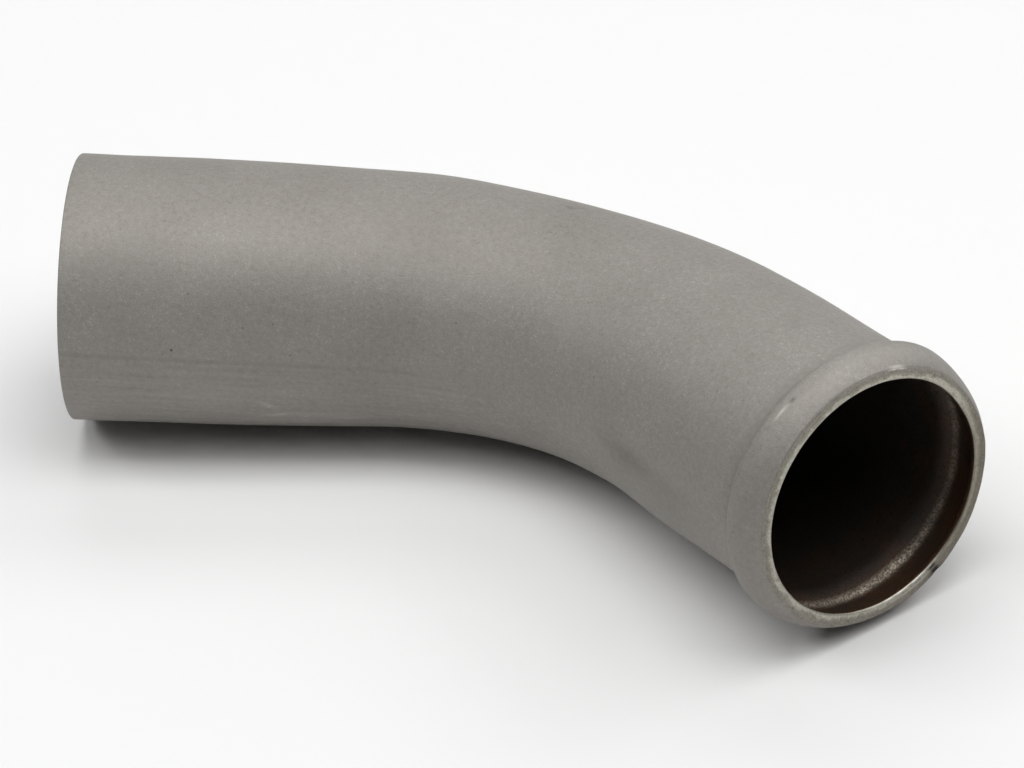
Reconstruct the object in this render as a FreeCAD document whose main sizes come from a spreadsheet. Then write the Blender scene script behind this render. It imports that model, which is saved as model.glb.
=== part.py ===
import FreeCAD, Part
import os
import math
import Sketcher

# Vent tube: one steel tube with a plain cut end, a single bend and a rolled hose bead.
# The centre of the plain end is the origin, the plain leg runs along +X and the bend turns
# towards -Y. The tube lies as it comes to rest, on its bead crest and the underside of its bend.

doc = FreeCAD.newDocument("VentTube")

sheet = doc.addObject("Spreadsheet::Sheet", "Sizes")
sizes = [
    ("tube_diameter", 25.4),     # outside of the round tube
    ("wall", 1.24),              # tube wall
    ("plain_leg", 28.5),         # plain end to the start of the bend
    ("bend_radius", 43.9),       # to the centre line
    ("bend_angle", 48.8),        # turn between the two legs
    ("bead_leg", 24.6),          # end of the bend to the mouth
    ("plain_round", 9.4),        # plain end stays truly round for this length
    ("bead_round", 15.5),        # bead end stays truly round for this length
    ("width_loss", 1.5),         # bend narrowed across its plane, at its middle
    ("depth_loss", 2.6),         # bend flattened in its plane, at its middle
    ("inward_shift", 0.45),      # flattened section lies nearer the inside of the bend
    ("bead_rise", 1.3),          # crest of the bead above the tube
    ("crest_back", 3.3),         # crest of the bead behind the mouth
    ("shoulder_radius", 2.2),    # bead rounded towards the tube
    ("neck_radius", 0.9),        # hollow where the bead meets the tube
    ("lip_rise", 0.1),           # outer edge of the mouth above the tube
    ("mouth_opening", 0.17),     # mouth edge opened out past the bore
    ("lip_land", 0.5),           # straight stretch inside the mouth
    ("rest_lean", 6.27),         # at rest the bend plane leans back by this angle
    ("rest_pitch", 2.06),        # and the plain end is raised by this one
]
for row, (name, value) in enumerate(sizes, start=1):
    sheet.set("A%d" % row, name)
    sheet.set("B%d" % row, str(value))
    sheet.setAlias("B%d" % row, name)
doc.recompute()


def size(name):
    return float(getattr(sheet, name))


def bind(thing, prop, formula):
    thing.setExpression(prop, formula)


body = doc.addObject("PartDesign::Body", "VentTubeBody")
body.Label = "vent_tube"
planes = {item.Role: item for item in body.Origin.OriginFeatures}

# Lengths along the centre line, as formulas of the sheet
bendLength = "(Sizes.bend_radius * Sizes.bend_angle * pi / 180)"
wholeLength = "(Sizes.plain_leg + %s + Sizes.bead_leg)" % bendLength
bendMiddle = "(Sizes.plain_leg + %s / 2)" % bendLength


def stationOnLine(along):
    # Turn, X and Y of the centre line at a given length along it
    turn = "min(max((%s - Sizes.plain_leg) / Sizes.bend_radius * 180 / pi; 0); Sizes.bend_angle)" % along
    past = "max(%s - Sizes.plain_leg - %s; 0)" % (along, bendLength)
    placeX = ("min(%s; Sizes.plain_leg) + Sizes.bend_radius * sin(%s) + %s * cos(Sizes.bend_angle)"
              % (along, turn, past))
    placeY = "-Sizes.bend_radius * (1 - cos(%s)) - %s * sin(Sizes.bend_angle)" % (turn, past)
    return turn, placeX, placeY


def sectionSketch(name, along):
    # Sketch square to the centre line: its own x is up and its own y points to the inside of the bend
    turn, placeX, placeY = stationOnLine(along)
    sketch = body.newObject("Sketcher::SketchObject", name)
    sketch.AttachmentSupport = [(planes["YZ_Plane"], "")]
    sketch.MapMode = "FlatFace"
    bind(sketch, "AttachmentOffset",
         "placement(vector(%s; 0; %s); rotation(vector(0; 1; 0); -(%s)) * rotation(vector(0; 0; 1); 90))"
         % (placeY, placeX, turn))
    return sketch


def addRound(sketch, radius, formula):
    circle = Part.Circle(FreeCAD.Vector(0, 0, 0), FreeCAD.Vector(0, 0, 1), radius)
    index = sketch.addGeometry(circle, False)
    sketch.addConstraint(Sketcher.Constraint("Coincident", index, 3, -1, 1))
    held = sketch.addConstraint(Sketcher.Constraint("Diameter", index, radius * 2))
    bind(sketch, "Constraints[%d]" % held, formula)


def addOval(sketch, shift, tall, deep, shiftFormula, tallFormula, deepFormula):
    # Upright oval, its centre moved towards the inside of the bend
    centre = FreeCAD.Vector(0, shift, 0)
    index = sketch.addGeometry(Part.Ellipse(
        FreeCAD.Vector(tall / 2, shift, 0), FreeCAD.Vector(0, shift + deep / 2, 0), centre), False)
    sketch.exposeInternalGeometry(index)
    major, minor = index + 1, index + 2
    sketch.addConstraint(Sketcher.Constraint("PointOnObject", index, 3, -2))
    sketch.addConstraint(Sketcher.Constraint("Horizontal", major))
    held = sketch.addConstraint(Sketcher.Constraint("Distance", major, tall))
    bind(sketch, "Constraints[%d]" % held, tallFormula)
    held = sketch.addConstraint(Sketcher.Constraint("Distance", minor, deep))
    bind(sketch, "Constraints[%d]" % held, deepFormula)
    held = sketch.addConstraint(Sketcher.Constraint("DistanceY", -1, 1, index, 3, shift))
    bind(sketch, "Constraints[%d]" % held, shiftFormula)


def ease(share):
    return share * share * (3 - 2 * share)


outside = "Sizes.tube_diameter"
inside = "Sizes.tube_diameter - 2 * Sizes.wall"
outerRadius = size("tube_diameter") / 2
innerRadius = outerRadius - size("wall")

# Round stretch at the plain end
endSketch = sectionSketch("PlainEnd", "0")
addRound(endSketch, outerRadius, outside)
addRound(endSketch, innerRadius, inside)
plainEnd = body.newObject("PartDesign::Pad", "PlainEndPad")
plainEnd.Profile = endSketch
plainEnd.Length = size("plain_round")
bind(plainEnd, "Length", "Sizes.plain_round")

# Sections of the bend: round, pressed oval by degrees to its middle, and round again.
# A share is the way from a round stretch, 0, to the middle of the bend, 1.
leadCount = 10
exitCount = 7
leadShares = [step / leadCount for step in range(leadCount + 1)]
exitShares = [step / exitCount for step in reversed(range(exitCount))]
beadStart = "(%s - Sizes.bead_round)" % wholeLength
stations = []
for share in leadShares:
    stations.append((share, "(Sizes.plain_round + (%s - Sizes.plain_round) * %.6f)" % (bendMiddle, share)))
for share in exitShares:
    stations.append((share, "(%s + (%s - %s) * %.6f)" % (beadStart, bendMiddle, beadStart, share)))
sections = []
for number, (share, along) in enumerate(stations):
    section = sectionSketch("Section%02d" % number, along)
    pressed = ease(share)
    if pressed == 0:
        addRound(section, outerRadius, outside)
        addRound(section, innerRadius, inside)
    else:
        shift = size("inward_shift") * pressed
        tall = outerRadius * 2 - size("width_loss") * pressed
        deep = outerRadius * 2 - size("depth_loss") * pressed
        shiftFormula = "Sizes.inward_shift * %.6f" % pressed
        tallFormula = "Sizes.tube_diameter - Sizes.width_loss * %.6f" % pressed
        deepFormula = "Sizes.tube_diameter - Sizes.depth_loss * %.6f" % pressed
        addOval(section, shift, tall, deep, shiftFormula, tallFormula, deepFormula)
        addOval(section, shift, tall - 2 * size("wall"), deep - 2 * size("wall"), shiftFormula,
                tallFormula + " - 2 * Sizes.wall", deepFormula + " - 2 * Sizes.wall")
    sections.append(section)
doc.recompute()
bend = body.newObject("PartDesign::AdditiveLoft", "Bend")
bend.Profile = sections[0]
bend.Sections = sections[1:]
bend.Ruled = False
doc.recompute()

# Wall of the bead end, drawn in the bend plane with the mouth at the sketch's origin
# and the leg's axis along the sketch's x.
turn, placeX, placeY = stationOnLine(wholeLength)
beadSketch = body.newObject("Sketcher::SketchObject", "BeadWall")
beadSketch.AttachmentSupport = [(planes["XY_Plane"], "")]
beadSketch.MapMode = "FlatFace"
beadSketch.AttachmentOffset = FreeCAD.Placement(
    FreeCAD.Vector(0, 0, 0), FreeCAD.Rotation(FreeCAD.Vector(0, 0, 1), -1))
bind(beadSketch, "AttachmentOffset.Base.x", placeX)
bind(beadSketch, "AttachmentOffset.Base.y", placeY)
bind(beadSketch, "AttachmentOffset.Rotation.Angle", "-Sizes.bend_angle")

start = -size("bead_round")
crestX = -size("crest_back")
crestY = outerRadius + size("bead_rise")
grooveY = crestY - size("wall")
lipY = outerRadius + size("lip_rise")
mouthY = innerRadius + size("mouth_opening")
landX = -size("lip_land")
shoulder = size("shoulder_radius")
neck = size("neck_radius")
span = math.sqrt(2 * (shoulder + neck) * size("bead_rise") - size("bead_rise") ** 2)
neckX = crestX - span
lean = math.acos(1 - size("bead_rise") / (shoulder + neck))
frontRadius = (crestX ** 2 + (crestY - lipY) ** 2) / (2 * (crestY - lipY))
grooveRadius = ((crestX - landX) ** 2 + (grooveY - mouthY) ** 2) / (2 * (grooveY - mouthY))


def arcAbout(centreX, centreY, radius, first, last):
    circle = Part.Circle(FreeCAD.Vector(centreX, centreY, 0), FreeCAD.Vector(0, 0, 1), radius)
    return Part.ArcOfCircle(circle, first, last)


def lineOf(fromX, fromY, toX, toY):
    return Part.LineSegment(FreeCAD.Vector(fromX, fromY, 0), FreeCAD.Vector(toX, toY, 0))


up = math.pi / 2
tubeLine = beadSketch.addGeometry(lineOf(start, outerRadius, neckX, outerRadius), False)
neckArc = beadSketch.addGeometry(arcAbout(neckX, outerRadius + neck, neck, -up, -up + lean), False)
shoulderArc = beadSketch.addGeometry(arcAbout(crestX, crestY - shoulder, shoulder, up, up + lean), False)
frontArc = beadSketch.addGeometry(arcAbout(
    crestX, crestY - frontRadius, frontRadius,
    math.atan2(lipY - crestY + frontRadius, -crestX), up), False)
faceLine = beadSketch.addGeometry(lineOf(0, lipY, 0, mouthY), False)
landLine = beadSketch.addGeometry(lineOf(0, mouthY, landX, mouthY), False)
grooveArc = beadSketch.addGeometry(arcAbout(
    crestX, grooveY - grooveRadius, grooveRadius,
    math.atan2(mouthY - grooveY + grooveRadius, landX - crestX), up), False)
innerShoulder = beadSketch.addGeometry(arcAbout(
    crestX, crestY - shoulder, shoulder - size("wall"), up, up + lean), False)
ridgeArc = beadSketch.addGeometry(arcAbout(
    neckX, outerRadius + neck, neck + size("wall"), -up, -up + lean), False)
boreLine = beadSketch.addGeometry(lineOf(neckX, innerRadius, start, innerRadius), False)
backLine = beadSketch.addGeometry(lineOf(start, innerRadius, start, outerRadius), False)


def hold(*parts):
    return beadSketch.addConstraint(Sketcher.Constraint(*parts))


def holdSize(formula, *parts):
    bind(beadSketch, "Constraints[%d]" % hold(*parts), formula)


# Smooth joints: tube to neck, neck to shoulder, shoulder to front at the crest, and the same inside
hold("Tangent", tubeLine, 2, neckArc, 1)
hold("Tangent", neckArc, 2, shoulderArc, 2)
hold("Tangent", shoulderArc, 1, frontArc, 2)
hold("Tangent", grooveArc, 2, innerShoulder, 1)
hold("Tangent", innerShoulder, 2, ridgeArc, 2)
hold("Tangent", ridgeArc, 1, boreLine, 1)
# Corners: both edges of the mouth, the land and the joint with the bend
hold("Coincident", frontArc, 1, faceLine, 1)
hold("Coincident", faceLine, 2, landLine, 1)
hold("Coincident", landLine, 2, grooveArc, 1)
hold("Coincident", boreLine, 2, backLine, 1)
hold("Coincident", backLine, 2, tubeLine, 1)
hold("Horizontal", tubeLine)
hold("Horizontal", boreLine)
hold("Horizontal", landLine)
hold("Vertical", backLine)
hold("Vertical", faceLine)
hold("Vertical", shoulderArc, 3, shoulderArc, 1)
hold("Vertical", innerShoulder, 3, innerShoulder, 1)
hold("Coincident", innerShoulder, 3, shoulderArc, 3)
hold("PointOnObject", faceLine, 1, -2)
holdSize("Sizes.tube_diameter / 2", "DistanceY", -1, 1, tubeLine, 1, outerRadius)
holdSize("Sizes.wall", "DistanceY", boreLine, 2, tubeLine, 1, size("wall"))
holdSize("Sizes.bead_round", "DistanceX", tubeLine, 1, -1, 1, size("bead_round"))
holdSize("Sizes.crest_back", "DistanceX", shoulderArc, 3, -1, 1, size("crest_back"))
holdSize("Sizes.tube_diameter / 2 + Sizes.bead_rise", "DistanceY", -1, 1, shoulderArc, 1, crestY)
holdSize("Sizes.shoulder_radius", "Radius", shoulderArc, shoulder)
holdSize("Sizes.neck_radius", "Radius", neckArc, neck)
holdSize("Sizes.tube_diameter / 2 + Sizes.lip_rise", "DistanceY", -1, 1, faceLine, 1, lipY)
holdSize("Sizes.tube_diameter / 2 - Sizes.wall + Sizes.mouth_opening",
         "DistanceY", -1, 1, faceLine, 2, mouthY)
holdSize("Sizes.lip_land", "DistanceX", landLine, 2, faceLine, 2, size("lip_land"))
holdSize("Sizes.shoulder_radius - Sizes.wall", "Radius", innerShoulder, shoulder - size("wall"))
doc.recompute()

beadEnd = body.newObject("PartDesign::Revolution", "BeadEnd")
beadEnd.Profile = beadSketch
beadEnd.ReferenceAxis = (beadSketch, ["H_Axis"])
beadEnd.Angle = 360
doc.recompute()

# Modelled with the bend plane level, then laid down as it comes to rest
bind(body, "Placement", "placement(vector(0; 0; 0); rotation(vector(0; 1; 0); Sizes.rest_pitch)"
     " * rotation(vector(1; 0; 0); -Sizes.rest_lean))")
doc.recompute()

for item in doc.Objects:
    for mark in ("Invalid", "Error"):
        if mark in item.State:
            raise RuntimeError("%s is %s" % (item.Name, mark))

os.makedirs("parts", exist_ok=True)
for piece in [body]:
    shape = piece.Shape
    if shape.isNull() or not shape.isValid() or len(shape.Solids) != 1:
        raise RuntimeError("%s has no sound solid" % piece.Label)
    shape.exportStep("parts/%s.step" % piece.Label)
    box = shape.BoundBox
    print(piece.Label, "volume %.1f" % shape.Volume, "box %.2f %.2f %.2f to %.2f %.2f %.2f" % (
        box.XMin, box.YMin, box.ZMin, box.XMax, box.YMax, box.ZMax))
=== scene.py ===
import math
import bmesh
import bpy
from mathutils import Matrix, Vector, noise


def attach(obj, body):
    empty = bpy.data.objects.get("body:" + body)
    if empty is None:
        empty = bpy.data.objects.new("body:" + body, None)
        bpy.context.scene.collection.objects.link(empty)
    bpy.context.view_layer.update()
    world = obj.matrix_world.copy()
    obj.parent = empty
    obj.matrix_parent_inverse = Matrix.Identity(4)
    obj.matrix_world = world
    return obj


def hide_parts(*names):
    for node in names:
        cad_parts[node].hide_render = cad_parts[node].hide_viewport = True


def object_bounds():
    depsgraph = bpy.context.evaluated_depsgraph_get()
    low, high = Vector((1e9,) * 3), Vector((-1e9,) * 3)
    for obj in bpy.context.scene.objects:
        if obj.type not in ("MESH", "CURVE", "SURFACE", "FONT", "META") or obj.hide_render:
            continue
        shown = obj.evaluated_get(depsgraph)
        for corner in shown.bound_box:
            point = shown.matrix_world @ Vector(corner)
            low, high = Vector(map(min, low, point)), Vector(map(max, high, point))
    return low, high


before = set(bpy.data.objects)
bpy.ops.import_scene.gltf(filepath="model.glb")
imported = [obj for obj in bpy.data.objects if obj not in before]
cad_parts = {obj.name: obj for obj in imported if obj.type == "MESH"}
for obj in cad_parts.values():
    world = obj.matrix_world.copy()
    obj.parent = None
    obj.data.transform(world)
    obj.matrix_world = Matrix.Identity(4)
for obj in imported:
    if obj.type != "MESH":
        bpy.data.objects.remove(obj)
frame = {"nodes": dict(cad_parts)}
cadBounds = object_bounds()
print("frame loaded:", ", ".join(frame["nodes"]))

scene = bpy.context.scene
scene.view_settings.view_transform = "Standard"
mm = 0.001


def linear(hexCode):
    channels = [int(hexCode[k:k + 2], 16) / 255 for k in (1, 3, 5)]
    return [c / 12.92 if c <= 0.04045 else ((c + 0.055) / 1.055) ** 2.4 for c in channels] + [1.0]


def addNode(tree, kind, settings=None, links=None):
    made = tree.nodes.new("ShaderNode" + kind)
    for name, value in (settings or {}).items():
        if name == "stops":  # a ramp's stops: place and hex colour
            while len(made.color_ramp.elements) < len(value):
                made.color_ramp.elements.new(0.5)
            for stop, (place, colour) in zip(made.color_ramp.elements, value):
                stop.position = place
                stop.color = linear(colour)
        elif hasattr(made, name):
            setattr(made, name, value)
        else:
            made.inputs[name].default_value = value
    for name, value in (links or {}).items():
        if isinstance(value, bpy.types.NodeSocket):
            tree.links.new(value, made.inputs[name])
        else:
            made.inputs[name].default_value = value
    return made


def perMetre(size):
    return 1 / (size * mm)  # a pattern's scale from its real size in millimetres


# The steel tube, in millimetres, as it was bent: plain leg, bend, bead leg.
tube = {
    "diameter": 25.4,
    "wall": 1.24,
    "plainLeg": 28.5,
    "bendRadius": 43.9,
    "bendAngle": 48.8,
    "beadLeg": 24.6,
    "plainRound": 9.4,  # length that stays round at each end
    "beadRound": 15.5,
    "widthLoss": 1.5,  # how far the bend flattens, across and in its plane
    "depthLoss": 2.6,
    "inwardShift": 0.45,
    "edgeRound": 0.14,  # deburred edges
    "edgePoints": 4,
    "cutMiddle": 0.45,  # ring on the cut end, as a share of the wall
    "step": 0.5,  # length between rings outside
    "innerStep": 1.1,  # and inside
    "around": 288,  # points in a ring
    "restLean": 6.27,  # how it lies on the floor
    "restPitch": 2.06,
}

# The bead that keeps the hose on, rolled from inside, so the wall follows it.
bead = {
    "rise": 1.3,
    "crestBack": 3.3,
    "shoulderRadius": 0.9,  # steep back of the bead, outside
    "neckRadius": 0.6,
    "grooveShoulder": 0.96,  # and the gentler groove inside
    "grooveNeck": 2.14,
    "crestForward": 0.35,  # how much nearer the mouth the crest lies along the top
    "forwardAround": 90,
    "forwardSpread": 11.0,
    "lipRise": 0.1,
    "mouthOpening": 0.17,
    "land": 0.5,  # straight stretch inside the mouth
    "landMiddle": 0.6,  # a ring on it, as a share
    "chamfer": 0.13,
    "chamferMiddle": (0.4, 0.45),  # shares of it, back and up
    "faceShares": (0.06, 0.2, 0.4, 0.6, 0.8, 0.94, 1),  # rings across the end face
    "arcSteps": {"neck": 8, "shoulder": 12, "front": 16,
                 "groove": 16, "innerShoulder": 9, "innerNeck": 12},  # points on each round
    "lipWander": 0.12,  # how far the filed edge wanders
    "wanders": [(1.0, 2.2, 0.3), (0.6, 7, 5.3)],  # share, closeness and slice of the noise
    "glints": [(11.69, 226, 276, 0.9), (12.18, 228, 262, 0.35)],  # painted highlights on the end face: radius, from, to, strength
    "glintTaper": 12,  # degrees at each end
    "glintWidth": 0.09,
    "stainAround": 200,  # middle of the browned side
    "notchAround": 235,  # a nick in the outer edge
    "notchWidth": 0.5,
    "notchDepth": 0.16,
    "polishSheenBack": 3.88,  # ring polished by the beading roll, back from the mouth, and a painted highlight on it
    "polishSheenWidth": 0.36,
    "polishSheenLevels": [(0, 0.2), (140, 0.22), (170, 0.3), (200, 0.26), (222, 0.6), (243, 1.05), (262, 0.8),
                      (282, 0.6), (310, 0.3), (360, 0.2)],  # strength by degrees around: a painted highlight, strongest low on the outer side of the bend where the lamps catch it
    "nearBlack": 0.55,  # and painted shade, a near black ring behind it
    "shadeRingBack": 5.0,
    "shadeRingWidth": 0.75,
    "shadeAndDirt": 0.34,  # painted shade, with some grime, in the neck behind the bead
    "shadeAndDirtBack": 4.9,
    "shadeAndDirtWidth": 0.8,
}

settle = (Matrix.Rotation(math.radians(tube["restPitch"]), 3, "Y")
          @ Matrix.Rotation(math.radians(-tube["restLean"]), 3, "X"))
outerRadius = tube["diameter"] / 2
boreRadius = outerRadius - tube["wall"]
arcLength = tube["bendRadius"] * math.radians(tube["bendAngle"])
wholeLength = tube["plainLeg"] + arcLength + tube["beadLeg"]
crestAt = wholeLength - bead["crestBack"]
bendMiddle = tube["plainLeg"] + arcLength / 2


def ease(share):
    share = min(max(share, 0), 1)
    return share * share * (3 - 2 * share)


def centreLine(along):
    turn = min(max(along - tube["plainLeg"], 0) / tube["bendRadius"], math.radians(tube["bendAngle"]))
    beyond = max(along - tube["plainLeg"] - arcLength, 0)
    ahead = Vector((math.cos(turn), -math.sin(turn), 0))
    inward = Vector((-math.sin(turn), -math.cos(turn), 0))
    start = Vector((min(along, tube["plainLeg"]), 0, 0))
    chord = Vector((math.sin(turn), math.cos(turn) - 1, 0)) * tube["bendRadius"]
    return start + chord + ahead * beyond, inward


def flatness(along):
    first = tube["plainRound"]
    last = wholeLength - tube["beadRound"]
    if along < bendMiddle:
        return ease((along - first) / (bendMiddle - first))
    return ease((last - along) / (last - bendMiddle))


def arcPoints(centre, radius, start, end, count):
    # points of an arc seen along the wall, without its first one; angles in degrees from the axis
    turns = [math.radians(start + (end - start) * k / count) for k in range(1, count + 1)]
    return [(centre[0] + radius * math.cos(a), centre[1] + radius * math.sin(a)) for a in turns]


def climb(first, second):
    # lean in degrees and length of the two arcs that carry the wall up to the crest
    lean = math.acos(1 - bead["rise"] / (first + second))
    return math.degrees(lean), (first + second) * math.sin(lean)


def wallOutline():
    # once round the wall: length along the tube, radius there, and the finish of the band after it
    wall = tube["wall"]
    edge = tube["edgeRound"]
    crest = outerRadius + bead["rise"]
    lip = outerRadius + bead["lipRise"]
    mouth = boreRadius + bead["mouthOpening"]
    lean, span = climb(bead["shoulderRadius"], bead["neckRadius"])
    innerLean, innerSpan = climb(bead["grooveShoulder"], bead["grooveNeck"])
    frontRadius = (bead["crestBack"] ** 2 + (crest - lip) ** 2) / (2 * (crest - lip))
    frontEnd = math.degrees(math.acos(bead["crestBack"] / frontRadius))
    neckAt = crestAt - span
    innerNeckAt = crestAt - innerSpan
    rounded = tube["edgePoints"]
    steps = bead["arcSteps"]
    cutRings = (boreRadius + edge, boreRadius + tube["cutMiddle"] * wall, outerRadius - edge)
    points = [(0, radius, "outside") for radius in cutRings]
    firstEdge = arcPoints((edge, outerRadius - edge), edge, 180, 90, rounded)
    points += [(x, y, "outside") for x, y in firstEdge]
    runs = int((neckAt - edge) / tube["step"])
    points += [(edge + (neckAt - edge) * k / runs, outerRadius, "outside") for k in range(1, runs + 1)]
    neckCentre = (neckAt, outerRadius + bead["neckRadius"])
    shoulderCentre = (crestAt, crest - bead["shoulderRadius"])
    bends = arcPoints(neckCentre, bead["neckRadius"], -90, lean - 90, steps["neck"])
    bends += arcPoints(shoulderCentre, bead["shoulderRadius"], 90 + lean, 90, steps["shoulder"])
    bends += arcPoints((crestAt, crest - frontRadius), frontRadius, 90, frontEnd, steps["front"])
    points += [(x, y, "outside") for x, y in bends]
    points[-1] = (wholeLength, lip, "mouth")
    face = lip - mouth - bead["chamfer"]
    points += [(wholeLength, lip - face * share, "mouth") for share in bead["faceShares"]]
    goneBack, goneUp = bead["chamferMiddle"]
    points += [(wholeLength - bead["chamfer"] * goneBack, mouth + bead["chamfer"] * goneUp, "mouth")]
    points += [(wholeLength - bead["chamfer"], mouth, "inside")]
    points += [(wholeLength - bead["land"] * bead["landMiddle"], mouth, "inside")]
    points += [(wholeLength - bead["land"], mouth, "inside")]
    grooveTop = crest - wall
    reach = bead["crestBack"] - bead["land"]
    drop = grooveTop - mouth
    grooveRadius = (reach ** 2 + drop ** 2) / (2 * drop)
    grooveStart = math.degrees(math.acos(reach / grooveRadius))
    grooveCentre = (crestAt, grooveTop - grooveRadius)
    hollows = arcPoints(grooveCentre, grooveRadius, grooveStart, 90, steps["groove"])
    innerShoulder = (crestAt, grooveTop - bead["grooveShoulder"])
    innerNeck = (innerNeckAt, boreRadius + bead["grooveNeck"])
    hollows += arcPoints(innerShoulder, bead["grooveShoulder"], 90, 90 + innerLean,
                         steps["innerShoulder"])
    hollows += arcPoints(innerNeck, bead["grooveNeck"], innerLean - 90, -90, steps["innerNeck"])
    points += [(x, y, "inside") for x, y in hollows]
    runs = int((innerNeckAt - edge) / tube["innerStep"])
    reachBack = edge - innerNeckAt
    points += [(innerNeckAt + reachBack * k / runs, boreRadius, "inside") for k in range(1, runs + 1)]
    lastEdge = arcPoints((edge, boreRadius + edge), edge, 270, 180, rounded)
    points += [(x, y, "inside") for x, y in lastEdge[:-1]]
    return points


# Marks on the outside: length along, degrees around from the inside of the bend towards the top,
# half length and half width in millimetres, the lean of its line in degrees, and strength.
marks = {
    "dark": [
        (47.4, 101, 0.6, 0.3, -20, 0.9),  # two smudges on the top of the bend
        (48.3, 104, 0.5, 0.22, -10, 0.8),
        (70.5, -4, 3.4, 1.5, 2, 0.45),  # shade along the crease
        (66.0, -4, 3.0, 1.2, 0, 0.2),
        (78.8, 89, 1.4, 0.9, -30, 0.25),  # faint smudge before the bead
        (80.0, 2, 6.0, 6.0, 0, 0.18),  # darker stretch on the inner side of the bead leg
        (88.8, 0, 1.6, 9.0, 0, 0.25),  # and of the bead
        (87.9, 57, 0.2, 0.3, 0, 1.7),  # speck on the bead
        (90.45, 235, 0.22, 0.5, 0, 1.3),  # dark of the nick
        (6.0, 40, 4.0, 2.5, 10, 0.2),  # soft clouds
        (33.0, 60, 8.0, 3.0, -12, 0.15),
    ],
    "pale": [
        (19.5, -28, 0.9, 0.22, -35, 0.5),  # scuffs low on the plain leg
        (20.5, -36, 1.1, 0.25, 15, 0.45),
        (27.0, -39, 2.2, 0.3, 0, 0.3),
        (25.0, -35, 3.0, 0.4, -3, 0.2),
        (12.0, -22, 5.0, 1.5, 0, 0.1),
        (87.9, 51, 0.12, 0.75, 0, 1.0),  # bright scratch on the bead
        (88.9, 105, 1.5, 6.5, 0, 0.2),  # top of the bead painted paler, a painted highlight
        (90.42, 101, 0.14, 0.8, 0, 1.8),  # painted highlight: a bright glint on the edge of the lip
        (60.0, 35, 7.0, 3.0, 15, 0.12),  # soft clouds
        (40.0, 30, 7.0, 3.5, -8, 0.1),
    ],
}

# Single pits the blast left: length along, degrees around, half width in millimetres, strength.
pits = [(10.8, 3, 0.14, 0.9), (17.6, 14, 0.11, 0.45), (20.4, 16, 0.11, 0.45), (12.4, 28, 0.1, 0.5),
        (22.0, 2, 0.12, 0.4), (5.6, 55, 0.08, 0.5), (41.0, 22, 0.1, 0.5), (57.5, 48, 0.1, 0.5),
        (63.0, 20, 0.12, 0.5), (30.5, -12, 0.09, 0.4), (3.5, -15, 0.08, 0.4), (78.0, 40, 0.09, 0.4)]

# Low dents and swellings: length along, degrees around, half length, half width, height.
dents = [(35.0, 116, 4.0, 7.0, 0.12), (0.0, 97, 3.2, 8.0, 0.13), (83.5, 118, 2.5, 6.0, 0.1),
         (88.0, 146, 3.5, 3.5, -0.2), (88.5, 208, 4.0, 9.0, 0.13), (63.0, -48, 3.0, 6.0, -0.06),
         (70.5, -46, 2.5, 6.0, 0.07), (52.0, 60, 9.0, 8.0, 0.04)]
markReach = 3  # a mark or dent has faded out at this many half sizes

# Unevenness of the wall: how far apart its lumps are and how high, in millimetres.
lumpiness = {
    "broadSize": 7.0,
    "broadHeight": 0.022,
    "fineSize": 2.4,
    "fineHeight": 0.008,
    "fineSlice": (9, 4, 2),  # another part of the noise than the broad lumps
    "markDepth": 0.02,  # how deep the dark marks are
    "scaleSize": 1.1,  # scale and rust inside
    "scaleHeight": 0.02,
}

# The weld line of the rolled strip, a hair below the surface; it fades where the bend begins.
seam = {
    "places": [(0, -1), (10.8, -2), (21.2, -3), (33.6, -5), (45, -6), (90.5, -6)],
    "depth": 0.008,
    "width": 0.3,
    "fadeFrom": 30,
    "fadeTo": 42,
    "shadeMap": {"From Min": 0.05, "From Max": 0.42, "To Min": 0.15, "To Max": 0.0},  # by distance from it
    "sideMap": {"From Min": 0.1, "From Max": 0.9},  # it shows on its own side of the tube
    "breakMap": {"From Min": 0.3, "From Max": 0.55, "To Min": 0.25},  # clouds that break it up
    "drawnFrom": 1.5,  # strip of drawn lines, sideways from the seam
    "drawnTo": -13,
    "softFrom": 3,  # width of its soft edges
    "softTo": 5,
    "drawnEnds": 36,  # length along where it begins to fade
    "drawnFades": 16,
}

# The crease that bending left on the inner side: a low ledge along the bead leg, gone before the bead.
crease = {
    "places": [(0, 5), (66.0, 5), (68.8, 4), (75.2, 3), (82.0, 2), (90.5, 1)],
    "start": 64.0,
    "full": 69.5,
    "fade": 76.0,
    "end": 84.0,
    "depth": 0.13,
    "width": 2.2,  # across the ledge
    "recovers": 7.0,
    "shade": 0.3,
}


def angleOnLine(places, along):
    for (a, v), (b, w) in zip(places, places[1:]):
        if along <= b:
            return v + (w - v) * (along - a) / (b - a)
    return places[-1][1]


def sideways(around, angle):
    return math.radians((around - angle + 180) % 360 - 180) * outerRadius


def seamDistance(along, around):
    return sideways(around, angleOnLine(seam["places"], along))


def seamShare(along):
    return 1 - ease((along - seam["fadeFrom"]) / (seam["fadeTo"] - seam["fadeFrom"]))


def drawnShare(along, apart):
    # where the drawn lines still show: a strip below the seam, fading in the bend
    strip = ease((seam["drawnFrom"] - apart) / seam["softFrom"])
    strip *= 1 - ease((seam["drawnTo"] - apart) / seam["softTo"])
    return strip * (1 - ease((along - seam["drawnEnds"]) / seam["drawnFades"]))


def creaseStrength(along, around):
    share = ease((along - crease["start"]) / (crease["full"] - crease["start"]))
    share *= 1 - ease((along - crease["fade"]) / (crease["end"] - crease["fade"]))
    below = -sideways(around, angleOnLine(crease["places"], along))
    share *= ease(below / crease["width"])
    return share * (1 - ease((below - crease["width"]) / crease["recovers"]))


def dentHeight(along, around):
    total = 0
    for at, angle, length, width, height in dents:
        u = (along - at) / length
        v = sideways(around, angle) / width
        if abs(u) < markReach and abs(v) < markReach:
            total += height * math.exp(-u * u - v * v)
    return total


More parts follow.
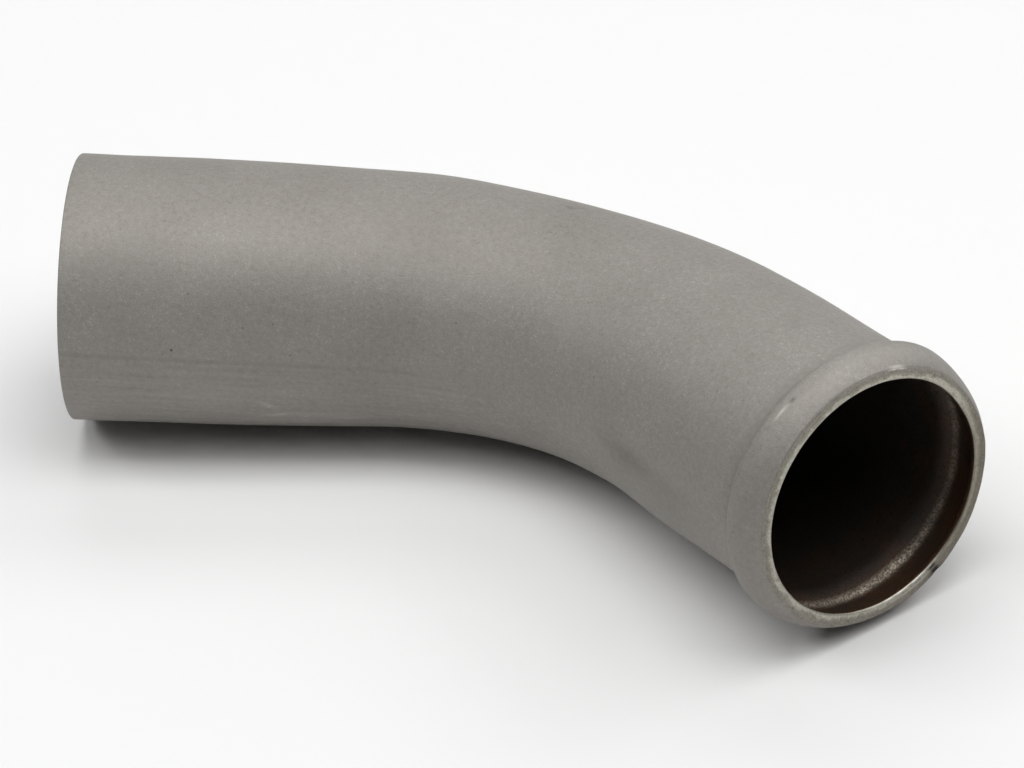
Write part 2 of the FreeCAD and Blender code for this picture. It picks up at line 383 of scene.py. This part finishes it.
def markStrength(kind, along, around):
    most = 0
    for at, angle, length, width, lean, strength in marks[kind]:
        ahead = along - at
        side = sideways(around, angle)
        turn = math.radians(lean)
        u = (ahead * math.cos(turn) + side * math.sin(turn)) / length
        v = (side * math.cos(turn) - ahead * math.sin(turn)) / width
        if abs(u) < markReach and abs(v) < markReach:
            most = max(most, strength * math.exp(-u * u - v * v))
    return most


def neckShadeAndDirt(along):
    # painted shade in the neck behind the bead, with some grime the blast left there
    off = (wholeLength - along - bead["shadeAndDirtBack"]) / bead["shadeAndDirtWidth"]
    return bead["shadeAndDirt"] * math.exp(-off * off)


def crestShift(along, around):
    # how far the crest is moved towards the mouth there
    ahead = (along - crestAt) / bead["crestBack"]
    risen = ease(ahead + 1) * (1 - ease(ahead))
    off = sideways(around, bead["forwardAround"]) / bead["forwardSpread"]
    return bead["crestForward"] * risen * math.exp(-off * off)


def filedGlint(radius, around):
    # painted highlights: thin bright lines on the lower right of the end face
    taper = bead["glintTaper"]
    most = 0
    for lineRadius, start, end, strength in bead["glints"]:
        share = ease((around - start) / taper) * (1 - ease((around - end + taper) / taper))
        off = (radius - lineRadius) / bead["glintWidth"]
        most = max(most, strength * share * math.exp(-off ** 2))
    return most


def surfacePoint(along, around):
    # a point of the outside as it lies, in millimetres
    middle, inward = centreLine(along)
    flat = flatness(along)
    angle = math.radians(around)
    deep = tube["inwardShift"] * flat + math.cos(angle) * (outerRadius - flat * tube["depthLoss"] / 2)
    high = math.sin(angle) * (outerRadius - flat * tube["widthLoss"] / 2)
    return settle @ (middle + inward * deep + Vector((0, 0, high)))


def unevenness(along, around, finish, place):
    # how far the surface stands off the true form, in millimetres
    fine = place / lumpiness["fineSize"] + Vector(lumpiness["fineSlice"])
    lumps = noise.noise(place / lumpiness["broadSize"]) * lumpiness["broadHeight"]
    lumps += noise.noise(fine) * lumpiness["fineHeight"]
    lumps += dentHeight(along, around)
    if finish == "outside":
        apart = seamDistance(along, around) / seam["width"]
        groove = seam["depth"] * seamShare(along) * math.exp(-apart * apart)
        groove += crease["depth"] * creaseStrength(along, around)
        return lumps - groove - lumpiness["markDepth"] * markStrength("dark", along, around)
    if finish == "inside":
        return lumps + noise.noise(place / lumpiness["scaleSize"]) * lumpiness["scaleHeight"]
    return dentHeight(along, around)


def buildTube():
    outline = wallOutline()
    count = tube["around"]
    points = []
    layers = {"dark": [], "pale": [], "seamLine": [], "seamSide": [], "alongTube": [], "wallRadius": [],
              "aroundTube": [], "burnish": [], "drawn": []}
    lastTurn = math.radians(tube["bendAngle"])
    beadAxis = Vector((math.cos(lastTurn), -math.sin(lastTurn), 0))
    for along, radius, finish in outline:
        middle, inward = centreLine(along)
        flat = flatness(along)
        for k in range(count):
            around = 360 * k / count
            angle = math.radians(around)
            outward = inward * math.cos(angle) + Vector((0, 0, math.sin(angle)))
            place = middle + inward * (tube["inwardShift"] * flat)
            place += inward * (math.cos(angle) * (radius - flat * tube["depthLoss"] / 2))
            place += Vector((0, 0, math.sin(angle) * (radius - flat * tube["widthLoss"] / 2)))
            if finish == "outside":
                place += beadAxis * crestShift(along, around)
            shift = unevenness(along, around, finish, place)
            if finish == "mouth" and radius > outerRadius:
                wander = 0
                for share, closeness, cut in bead["wanders"]:
                    onCircle = Vector((math.cos(angle), math.sin(angle), cut))
                    wander += share * noise.noise(onCircle * closeness)
                notch = (sideways(around, bead["notchAround"]) / bead["notchWidth"]) ** 2
                shift += bead["lipWander"] * wander - bead["notchDepth"] * math.exp(-notch)
            points.append(settle @ (place + outward * shift) * mm)
            onSurface = finish != "inside"
            # painted shade in the neck behind the bead, with some grime, and painted shade below the
            # crease, on top of the dark marks
            dark = markStrength("dark", along, around) + neckShadeAndDirt(along)
            dark += crease["shade"] * creaseStrength(along, around)
            layers["dark"].append(dark if onSurface else 0)
            # pale marks, with painted highlights on the top of the bead and the lip's edge; on the end
            # face, only the painted highlight lines
            pale = markStrength("pale", along, around)
            if finish == "mouth" and radius < outerRadius:
                pale = filedGlint(radius, around)
            layers["pale"].append(pale if onSurface else 0)
            # the polished ring inside, with a painted highlight, less a ring of painted shade behind it
            off = (wholeLength - along - bead["polishSheenBack"]) / bead["polishSheenWidth"]
            ringPolishSheenAndShade = math.exp(-off * off) * angleOnLine(bead["polishSheenLevels"], around)
            deeper = (wholeLength - along - bead["shadeRingBack"]) / bead["shadeRingWidth"]
            ringPolishSheenAndShade -= bead["nearBlack"] * math.exp(-deeper * deeper)
            layers["burnish"].append(ringPolishSheenAndShade if finish == "inside" else 0)
            apart = seamDistance(along, around)
            layers["seamLine"].append(apart)
            layers["drawn"].append(drawnShare(along, apart))
            layers["seamSide"].append(math.cos(apart / outerRadius) * seamShare(along))
            layers["alongTube"].append(along)
            layers["wallRadius"].append(radius + shift)
            fromStain = math.radians(around - bead["stainAround"])
            layers["aroundTube"].append(0.5 - 0.5 * math.cos(fromStain))
    finishes = ["outside", "mouth", "inside"]
    faces = []
    bands = []
    for ring in range(len(outline)):
        after = (ring + 1) % len(outline)
        for k in range(count):
            beside = (k + 1) % count
            near = (ring * count + k, ring * count + beside)
            faces.append(near + (after * count + beside, after * count + k))
            bands.append(finishes.index(outline[ring][2]))
    mesh = bpy.data.meshes.new("ventTube")
    mesh.from_pydata(points, [], faces)
    for name, values in layers.items():
        mesh.attributes.new(name, "FLOAT", "POINT").data.foreach_set("value", values)
    mesh.polygons.foreach_set("material_index", bands)
    mesh.polygons.foreach_set("use_smooth", [True] * len(faces))
    work = bmesh.new()
    work.from_mesh(mesh)
    bmesh.ops.recalc_face_normals(work, faces=work.faces)
    work.to_mesh(mesh)
    work.free()
    mesh.update()
    piece = bpy.data.objects.new("ventTube", mesh)
    scene.collection.objects.link(piece)
    print("tube built:", len(points), "points in", len(outline), "rings")
    return piece


# Mild steel tube, grit blasted after bending: matte grey, a shade warm, with a fine even speckle
# and soft clouds where the blast dwelt.
blasted = {
    "pit": "#6C6962",
    "dark": "#8F8B85",
    "light": "#9F9B96",
    "sparkle": "#CAC7C2",
    # also the colour of the painted shade in the neck and below the crease
    "stain": "#5C5751",
    # pale of scuffs and scratches, also used for the painted highlights on the bead
    "wearAndHighlight": "#C4C0BA",
    "baseTone": 0.3,
    "gritSize": 0.16,  # the real pits are near 0.08; drawn coarser so that they show
    "gritContrast": 0.5,
    "drawnContrast": 0.34,  # on the strip of drawn lines
    "clumpSize": 0.5,
    "clumpShare": 0.22,
    "cloudSize": 9.0,
    "cloudShare": 0.18,
    "streakLength": 14.0,  # faint lines of the drawn tube that the blast left low on the plain leg
    "streakWidth": 0.55,
    "streakShare": 0.2,
    "pitEdge": (0.6, 1.4),  # where the soft edge of a single pit begins and ends, in its half widths
    "roughMap": {"From Min": 0.3, "From Max": 0.7, "To Min": 0.60, "To Max": 0.72},  # roughness by grit
    "bump": 0.5,
    "bumpHeight": 0.05,
    "metallic": 0.6,
}


def blastedSteel():
    material = bpy.data.materials.new("gritBlastedMildSteel")
    material.use_nodes = True
    tree = material.node_tree
    shader = tree.nodes["Principled BSDF"]
    place = addNode(tree, "TexCoord").outputs["Object"]
    grit = addNode(tree, "TexNoise", {"Scale": perMetre(blasted["gritSize"]), "Detail": 1.0,
                                      "Roughness": 0.5}, {"Vector": place})
    cloud = addNode(tree, "TexNoise", {"Scale": perMetre(blasted["cloudSize"]), "Detail": 3.0,
                                       "Roughness": 0.55}, {"Vector": place})
    clump = addNode(tree, "TexNoise", {"Scale": perMetre(blasted["clumpSize"]), "Detail": 1.0},
                    {"Vector": place})
    under = addNode(tree, "Attribute", {"attribute_name": "drawn"})
    below = addNode(tree, "Attribute", {"attribute_name": "seamLine"})
    length = addNode(tree, "Attribute", {"attribute_name": "alongTube"})
    stretched = addNode(tree, "CombineXYZ", {}, {"X": length.outputs["Fac"], "Y": below.outputs["Fac"]})
    streaked = addNode(tree, "VectorMath", {"operation": "DIVIDE"},
                       {0: stretched.outputs[0], 1: (blasted["streakLength"], blasted["streakWidth"], 1)})
    streaks = addNode(tree, "TexNoise", {"noise_dimensions": "2D", "Scale": 1.0, "Detail": 2.0},
                      {"Vector": streaked.outputs[0]})
    share = blasted["streakShare"]
    lines = addNode(tree, "Math", {"operation": "MULTIPLY_ADD"},
                    {0: streaks.outputs["Fac"], 1: share, 2: -share / 2})
    drawn = addNode(tree, "Math", {"operation": "MULTIPLY"},
                    {0: lines.outputs[0], 1: under.outputs["Fac"]})
    shade = addNode(tree, "Math", {"operation": "MULTIPLY_ADD"},
                    {0: cloud.outputs["Fac"], 1: blasted["cloudShare"], 2: blasted["baseTone"]})
    tone = addNode(tree, "Math", {"operation": "ADD"}, {0: shade.outputs[0], 1: drawn.outputs[0]})
    tuft = addNode(tree, "Math", {"operation": "MULTIPLY_ADD"},
                   {0: clump.outputs["Fac"], 1: blasted["clumpShare"], 2: tone.outputs[0]})
    contrast = addNode(tree, "MapRange", {"To Min": blasted["gritContrast"],
                                          "To Max": blasted["drawnContrast"]},
                       {"Value": under.outputs["Fac"]})
    centred = addNode(tree, "Math", {"operation": "SUBTRACT"}, {0: grit.outputs["Fac"], 1: 0.5})
    speckle = addNode(tree, "Math", {"operation": "MULTIPLY_ADD"},
                      {0: centred.outputs[0], 1: contrast.outputs[0], 2: tuft.outputs[0]})
    colour = addNode(tree, "ValToRGB", {"stops": [(0.2, blasted["pit"]), (0.4, blasted["dark"]),
                                                  (0.6, blasted["light"]), (0.8, blasted["sparkle"])]},
                     {"Fac": speckle.outputs[0]})
    # dark layer: smudges and grime, with painted shade in the neck and below the crease
    stain = addNode(tree, "Attribute", {"attribute_name": "dark"})
    patchy = addNode(tree, "Math", {"operation": "MULTIPLY", "use_clamp": True},
                     {0: stain.outputs["Fac"], 1: grit.outputs["Fac"]})
    pitsStainsAndShade = patchy.outputs[0]
    begins, ends = blasted["pitEdge"]
    for along, around, size, strength in pits:
        spot = addNode(tree, "VectorMath", {"operation": "DISTANCE"},
                       {0: place, 1: surfacePoint(along, around) * mm})
        near = addNode(tree, "MapRange", {"interpolation_type": "SMOOTHSTEP",
                                          "From Min": begins * size * mm, "From Max": ends * size * mm,
                                          "To Min": strength, "To Max": 0.0},
                       {"Value": spot.outputs["Value"]})
        deeper = addNode(tree, "Math", {"operation": "MAXIMUM"}, {0: pitsStainsAndShade, 1: near.outputs[0]})
        pitsStainsAndShade = deeper.outputs[0]
    stained = addNode(tree, "Mix", {"data_type": "RGBA"},
                      {0: pitsStainsAndShade, 6: colour.outputs["Color"], 7: linear(blasted["stain"])})
    apart = addNode(tree, "Math", {"operation": "ABSOLUTE"}, {0: below.outputs["Fac"]})
    weld = addNode(tree, "MapRange", {"interpolation_type": "SMOOTHSTEP", **seam["shadeMap"]},
                   {"Value": apart.outputs[0]})
    side = addNode(tree, "Attribute", {"attribute_name": "seamSide"})
    faced = addNode(tree, "MapRange", seam["sideMap"], {"Value": side.outputs["Fac"]})
    broken = addNode(tree, "MapRange", seam["breakMap"], {"Value": cloud.outputs["Fac"]})
    patchyWeld = addNode(tree, "Math", {"operation": "MULTIPLY"},
                         {0: weld.outputs[0], 1: broken.outputs[0]})
    shownWeld = addNode(tree, "Math", {"operation": "MULTIPLY"},
                        {0: patchyWeld.outputs[0], 1: faced.outputs[0]})
    lined = addNode(tree, "Mix", {"data_type": "RGBA"},
                    {0: shownWeld.outputs[0], 6: stained.outputs[2], 7: linear(blasted["stain"])})
    # pale layer: scuffs and scratches, with painted highlights on the top of the bead and the lip's edge
    wearAndHighlightMask = addNode(tree, "Attribute", {"attribute_name": "pale"})
    wearAndHighlight = addNode(tree, "Mix", {"data_type": "RGBA"},
                     {0: wearAndHighlightMask.outputs["Fac"], 6: lined.outputs[2], 7: linear(blasted["wearAndHighlight"])})
    rough = addNode(tree, "MapRange", blasted["roughMap"], {"Value": grit.outputs["Fac"]})
    bump = addNode(tree, "Bump", {"Strength": blasted["bump"], "Distance": blasted["bumpHeight"] * mm},
                   {"Height": grit.outputs["Fac"]})
    tree.links.new(wearAndHighlight.outputs[2], shader.inputs["Base Color"])
    tree.links.new(rough.outputs[0], shader.inputs["Roughness"])
    tree.links.new(bump.outputs[0], shader.inputs["Normal"])
    shader.inputs["Metallic"].default_value = blasted["metallic"]
    return material


# Mild steel, cut and filed at the mouth: faintly olive, brightest along the inner edge, duller and
# mottled outwards where the blast caught it, with fine rings from the cutter and brown specks.
filed = {
    "dull": "#87847B",
    "pale": "#BFBBAE",
    "grainDark": "#979388",
    # colour of the painted highlights on the end face and the lip's edge
    "bright": "#ECE9E2",
    "stain": "#6B6455",
    "stainMap": {"From Min": 0.3, "From Max": 0.02, "To Max": 0.55},  # by how far round from its middle
    "speck": "#564838",
    "speckSize": 0.6,
    "speckMap": {"From Min": 0.58, "From Max": 0.72, "To Max": 0.75},
    "nick": "#2E2620",
    "ringWidth": 0.16,  # cutter lines
    "ringShare": 0.5,
    "grainSize": 0.22,
    "grainLess": 0.25,  # taken off the grain, so that the face stays dull outside the strip
    "patchSize": 1.8,
    "stripEnd": 12.1,  # radius where the pale inner strip gives way
    "stripSoft": (0.35, 0.25),  # width of that change, outside and inside of it
    "stripRagged": 1.5,
    "stripShare": 0.5,
    "glintMap": {"From Min": 0.3, "From Max": 0.55},  # patches that break up the glints
    "roughMap": {"To Min": 0.66, "To Max": 0.34},  # roughness by tone, dull to pale
    "bump": 0.7,
    "bumpHeight": 0.04,
    "metallic": 0.8,
}


def filedSteel():
    material = bpy.data.materials.new("filedMildSteel")
    material.use_nodes = True
    tree = material.node_tree
    shader = tree.nodes["Principled BSDF"]
    place = addNode(tree, "TexCoord").outputs["Object"]
    radius = addNode(tree, "Attribute", {"attribute_name": "wallRadius"})
    patches = addNode(tree, "TexNoise", {"Scale": perMetre(filed["patchSize"]), "Detail": 4.0,
                                         "Roughness": 0.6}, {"Vector": place})
    grain = addNode(tree, "TexNoise", {"Scale": perMetre(filed["grainSize"]), "Detail": 2.0,
                                       "Roughness": 0.6}, {"Vector": place})
    across = addNode(tree, "CombineXYZ", {}, {"X": radius.outputs["Fac"], "Y": patches.outputs["Fac"]})
    lines = addNode(tree, "TexNoise", {"noise_dimensions": "2D", "Scale": 1 / filed["ringWidth"],
                                       "Detail": 1.0}, {"Vector": across.outputs[0]})
    wide = filed["stripRagged"]
    ragged = addNode(tree, "Math", {"operation": "MULTIPLY_ADD"},
                     {0: patches.outputs["Fac"], 1: wide, 2: -wide / 2})
    edge = addNode(tree, "Math", {"operation": "ADD"}, {0: radius.outputs["Fac"], 1: ragged.outputs[0]})
    softOut, softIn = filed["stripSoft"]
    strip = addNode(tree, "MapRange", {"interpolation_type": "SMOOTHSTEP",
                                       "From Min": filed["stripEnd"] + softOut,
                                       "From Max": filed["stripEnd"] - softIn}, {"Value": edge.outputs[0]})
    share = filed["ringShare"]
    streak = addNode(tree, "Math", {"operation": "MULTIPLY_ADD"},
                     {0: lines.outputs["Fac"], 1: share, 2: -share / 2})
    mottle = addNode(tree, "Math", {"operation": "SUBTRACT"},
                     {0: grain.outputs["Fac"], 1: filed["grainLess"]})
    mixed = addNode(tree, "Math", {"operation": "ADD"}, {0: streak.outputs[0], 1: mottle.outputs[0]})
    tone = addNode(tree, "Math", {"operation": "MULTIPLY_ADD", "use_clamp": True},
                   {0: strip.outputs[0], 1: filed["stripShare"], 2: mixed.outputs[0]})
    colour = addNode(tree, "ValToRGB", {"stops": [(0.05, filed["dull"]), (0.4, filed["grainDark"]),
                                                  (0.95, filed["pale"])]}, {"Fac": tone.outputs[0]})
    stained = addNode(tree, "Attribute", {"attribute_name": "aroundTube"})
    browned = addNode(tree, "MapRange", {"interpolation_type": "SMOOTHSTEP", **filed["stainMap"]},
                      {"Value": stained.outputs["Fac"]})
    dull = addNode(tree, "Mix", {"data_type": "RGBA"},
                   {0: browned.outputs[0], 6: colour.outputs["Color"], 7: linear(filed["stain"])})
    flecks = addNode(tree, "TexNoise", {"Scale": perMetre(filed["speckSize"]), "Detail": 5.0,
                                        "Roughness": 0.7}, {"Vector": place})
    rusty = addNode(tree, "MapRange", filed["speckMap"], {"Value": flecks.outputs["Fac"]})
    specked = addNode(tree, "Mix", {"data_type": "RGBA"},
                      {0: rusty.outputs[0], 6: dull.outputs[2], 7: linear(filed["speck"])})
    nick = addNode(tree, "Attribute", {"attribute_name": "dark"})
    nicked = addNode(tree, "Mix", {"data_type": "RGBA"},
                     {0: nick.outputs["Fac"], 6: specked.outputs[2], 7: linear(filed["nick"])})
    # painted highlights: the thin bright lines and the lip's bright edge
    glint = addNode(tree, "Attribute", {"attribute_name": "pale"})
    patched = addNode(tree, "MapRange", filed["glintMap"], {"Value": patches.outputs["Fac"]})
    shown = addNode(tree, "Math", {"operation": "MULTIPLY", "use_clamp": True},
                    {0: glint.outputs["Fac"], 1: patched.outputs[0]})
    glinting = addNode(tree, "Mix", {"data_type": "RGBA"},
                       {0: shown.outputs[0], 6: nicked.outputs[2], 7: linear(filed["bright"])})
    rough = addNode(tree, "MapRange", filed["roughMap"], {"Value": tone.outputs[0]})
    bump = addNode(tree, "Bump", {"Strength": filed["bump"], "Distance": filed["bumpHeight"] * mm},
                   {"Height": mixed.outputs[0]})
    tree.links.new(glinting.outputs[2], shader.inputs["Base Color"])
    tree.links.new(rough.outputs[0], shader.inputs["Roughness"])
    tree.links.new(bump.outputs[0], shader.inputs["Normal"])
    shader.inputs["Metallic"].default_value = filed["metallic"]
    return material


# Mild steel left as it was rolled inside, with oil-dark scale and brown rust: near black where only
# the bore is mirrored; grainy bright where the polished ring catches the lamps, a painted highlight, with
# a ring of painted shade behind it.
scaled = {
    "scale": "#3B3630",
    "brown": "#40352B",
    "rust": "#553928",
    # near black: painted shade behind the polished ring, and dark spots in the grain
    "nearBlack": "#15120F",
    # polished steel, and the painted highlight on the ring
    "steelSheen": "#C4BAA9",
    "grainSize": 0.26,
    "fleckSize": 0.21,
    "patchSize": 2.6,
    "rustFrom": 9,  # more rust sets in between these distances behind the mouth
    "rustTo": 1,
    "rustMap": {"From Min": 0.3, "From Max": 0.8, "To Min": 0.3, "To Max": 0.0},  # and on the browned side
    "fleckMap": {"From Min": 0.36, "From Max": 0.66, "To Min": 0.25, "To Max": 1.25},  # shine by flecks
    "smearMap": {"From Min": 0.38, "From Max": 0.62, "To Min": 0.5, "To Max": 1.35},  # and by patches
    "shadeRingMap": {"From Min": 0.0, "From Max": -1.0},
    "spotMap": {"From Min": 0.48, "From Max": 0.36, "To Max": 0.8},  # dark spots in the grain
    "metalMap": {"To Min": 0.45, "To Max": 1.0},  # metallic by shine: scale and rust to polished steel
    "roughMap": {"From Min": 0.3, "From Max": 0.7, "To Min": 0.3, "To Max": 0.6},  # roughness by grain
    "bump": 0.9,
    "bumpHeight": 0.12,
}


def scaledSteel():
    material = bpy.data.materials.new("rustedRolledMildSteel")
    material.use_nodes = True
    tree = material.node_tree
    shader = tree.nodes["Principled BSDF"]
    place = addNode(tree, "TexCoord").outputs["Object"]
    grain = addNode(tree, "TexNoise", {"Scale": perMetre(scaled["grainSize"]), "Detail": 4.0,
                                       "Roughness": 0.7}, {"Vector": place})
    patches = addNode(tree, "TexNoise", {"Scale": perMetre(scaled["patchSize"]), "Detail": 5.0,
                                         "Roughness": 0.65}, {"Vector": place})
    turned = addNode(tree, "Attribute", {"attribute_name": "aroundTube"})
    along = addNode(tree, "Attribute", {"attribute_name": "alongTube"})
    nearMouth = addNode(tree, "MapRange", {"From Min": wholeLength - scaled["rustFrom"],
                                           "From Max": wholeLength - scaled["rustTo"]},
                        {"Value": along.outputs["Fac"]})
    browned = addNode(tree, "MapRange", scaled["rustMap"], {"Value": turned.outputs["Fac"]})
    settled = addNode(tree, "Math", {"operation": "MULTIPLY"},
                      {0: nearMouth.outputs[0], 1: browned.outputs[0]})
    amount = addNode(tree, "Math", {"operation": "ADD"},
                     {0: patches.outputs["Fac"], 1: settled.outputs[0]})
    colour = addNode(tree, "ValToRGB", {"stops": [(0.42, scaled["scale"]), (0.6, scaled["brown"]),
                                                  (0.85, scaled["rust"])]}, {"Fac": amount.outputs[0]})
    # the polished ring with its painted highlight; below zero, the painted shade behind it
    ridge = addNode(tree, "Attribute", {"attribute_name": "burnish"})
    flecks = addNode(tree, "TexNoise", {"Scale": perMetre(scaled["fleckSize"]), "Detail": 2.0,
                                        "Roughness": 0.6}, {"Vector": place})
    uneven = addNode(tree, "MapRange", {"interpolation_type": "SMOOTHSTEP", **scaled["fleckMap"]},
                     {"Value": flecks.outputs["Fac"]})
    smear = addNode(tree, "MapRange", scaled["smearMap"], {"Value": patches.outputs["Fac"]})
    smeared = addNode(tree, "Math", {"operation": "MULTIPLY"},
                      {0: uneven.outputs[0], 1: smear.outputs[0]})
    shine = addNode(tree, "Math", {"operation": "MULTIPLY", "use_clamp": True},
                    {0: ridge.outputs["Fac"], 1: smeared.outputs[0]})
    # painted shade: the near black ring behind the polished ring
    shadeRing = addNode(tree, "MapRange", scaled["shadeRingMap"], {"Value": ridge.outputs["Fac"]})
    base = addNode(tree, "Mix", {"data_type": "RGBA"},
                   {0: shadeRing.outputs[0], 6: colour.outputs["Color"], 7: linear(scaled["nearBlack"])})
    spots = addNode(tree, "MapRange", scaled["spotMap"], {"Value": grain.outputs["Fac"]})
    spotted = addNode(tree, "Mix", {"data_type": "RGBA"},
                      {0: spots.outputs[0], 6: base.outputs[2], 7: linear(scaled["nearBlack"])})
    bright = addNode(tree, "Mix", {"data_type": "RGBA"},
                     {0: shine.outputs[0], 6: spotted.outputs[2], 7: linear(scaled["steelSheen"])})
    metalShare = addNode(tree, "MapRange", scaled["metalMap"], {"Value": shine.outputs[0]})
    rough = addNode(tree, "MapRange", scaled["roughMap"], {"Value": grain.outputs["Fac"]})
    bump = addNode(tree, "Bump", {"Strength": scaled["bump"], "Distance": scaled["bumpHeight"] * mm},
                   {"Height": grain.outputs["Fac"]})
    tree.links.new(bright.outputs[2], shader.inputs["Base Color"])
    tree.links.new(metalShare.outputs[0], shader.inputs["Metallic"])
    tree.links.new(rough.outputs[0], shader.inputs["Roughness"])
    tree.links.new(bump.outputs[0], shader.inputs["Normal"])
    return material


ventTube = buildTube()
for finish in (blastedSteel(), filedSteel(), scaledSteel()):
    ventTube.data.materials.append(finish)
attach(ventTube, "root")
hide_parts("vent_tube")
print("steel finishes on:", ", ".join(m.name for m in ventTube.data.materials))

# White seamless studio floor, in metres.
floorSheet = {"reach": 2.5, "colour": "#EAEAEA", "roughness": 0.8, "specular": 0.1}


def studioFloor():
    reach = floorSheet["reach"]
    level = cadBounds[0][2]
    mesh = bpy.data.meshes.new("studioFloor")
    corners = [(-reach, -reach, level), (reach, -reach, level),
               (reach, reach, level), (-reach, reach, level)]
    mesh.from_pydata(corners, [], [(0, 1, 2, 3)])
    sheet = bpy.data.objects.new("studioFloor", mesh)
    scene.collection.objects.link(sheet)
    material = bpy.data.materials.new("mattWhitePaper")  # paper sweep, even and white
    material.use_nodes = True
    shader = material.node_tree.nodes["Principled BSDF"]
    shader.inputs["Base Color"].default_value = linear(floorSheet["colour"])
    shader.inputs["Roughness"].default_value = floorSheet["roughness"]
    shader.inputs["Specular IOR Level"].default_value = floorSheet["specular"]
    mesh.materials.append(material)
    return sheet


studioFloor()

# A row of three softboxes overhead, a weaker row behind, one in front, a lit white panel at the back
# and a dim room.
lamps = {
    "softboxLeft": {"place": (-0.9, -0.1, 1.0), "size": (0.9, 0.45), "watts": 5.2},
    "softboxMiddle": {"place": (0.05, -0.1, 1.0), "size": (0.9, 0.45), "watts": 5.8},
    "softboxRight": {"place": (1.0, -0.1, 1.0), "size": (0.9, 0.45), "watts": 3.2},
    "backLeft": {"place": (0.05, 0.8, 1.0), "size": (0.9, 0.45), "watts": 2.4},
    "backRight": {"place": (1.0, 0.8, 1.0), "size": (0.9, 0.45), "watts": 4.5},
    "backPanel": {"place": (0.1, 1.2, 0.45), "size": (2.2, 0.8), "watts": 3.5},
    "front": {"place": (0.2, -0.55, 1.0), "size": (0.9, 0.45), "watts": 1.8},
}
lampAim = (0.04, -0.01, 0)  # the point that all of them face
room = {"colour": "#FFFFFF", "strength": 0.03}

for name, facts in lamps.items():
    light = bpy.data.lights.new(name, "AREA")
    light.shape = "RECTANGLE"
    light.size, light.size_y = facts["size"]
    light.energy = facts["watts"]
    lamp = bpy.data.objects.new(name, light)
    lamp.location = facts["place"]
    aim = Vector(lampAim) - lamp.location
    lamp.rotation_euler = aim.to_track_quat("-Z", "Y").to_euler()
    scene.collection.objects.link(lamp)
world = bpy.data.worlds.new("dimRoom")
world.use_nodes = True
world.node_tree.nodes["Background"].inputs["Color"].default_value = linear(room["colour"])
world.node_tree.nodes["Background"].inputs["Strength"].default_value = room["strength"]
scene.world = world

# Camera of the photograph, in the tube's own frame before it settles: millimetres and directions.
photoCamera = {
    "place": (97.46, -526.01, 297.17),
    "look": (-0.0915, 0.8606, -0.5010),
    "right": (0.9952, 0.0972, -0.0148),
    "focalPixels": 6378.8,
    "imageWidth": 1024,
    "sensor": 36.0,
    "nearest": 0.01,  # metres; closer things aren't drawn
}

lens = bpy.data.cameras.new("photoCamera")
lens.sensor_width = photoCamera["sensor"]
lens.lens = photoCamera["focalPixels"] * photoCamera["sensor"] / photoCamera["imageWidth"]
lens.clip_start = photoCamera["nearest"]
camera = bpy.data.objects.new("photoCamera", lens)
back = -(settle @ Vector(photoCamera["look"])).normalized()
right = settle @ Vector(photoCamera["right"])
right = (right - back * right.dot(back)).normalized()
turned = Matrix((right, back.cross(right), back)).transposed().to_4x4()
camera.matrix_world = Matrix.Translation(settle @ Vector(photoCamera["place"]) * mm) @ turned
scene.collection.objects.link(camera)
scene.camera = camera
print("light and camera set")
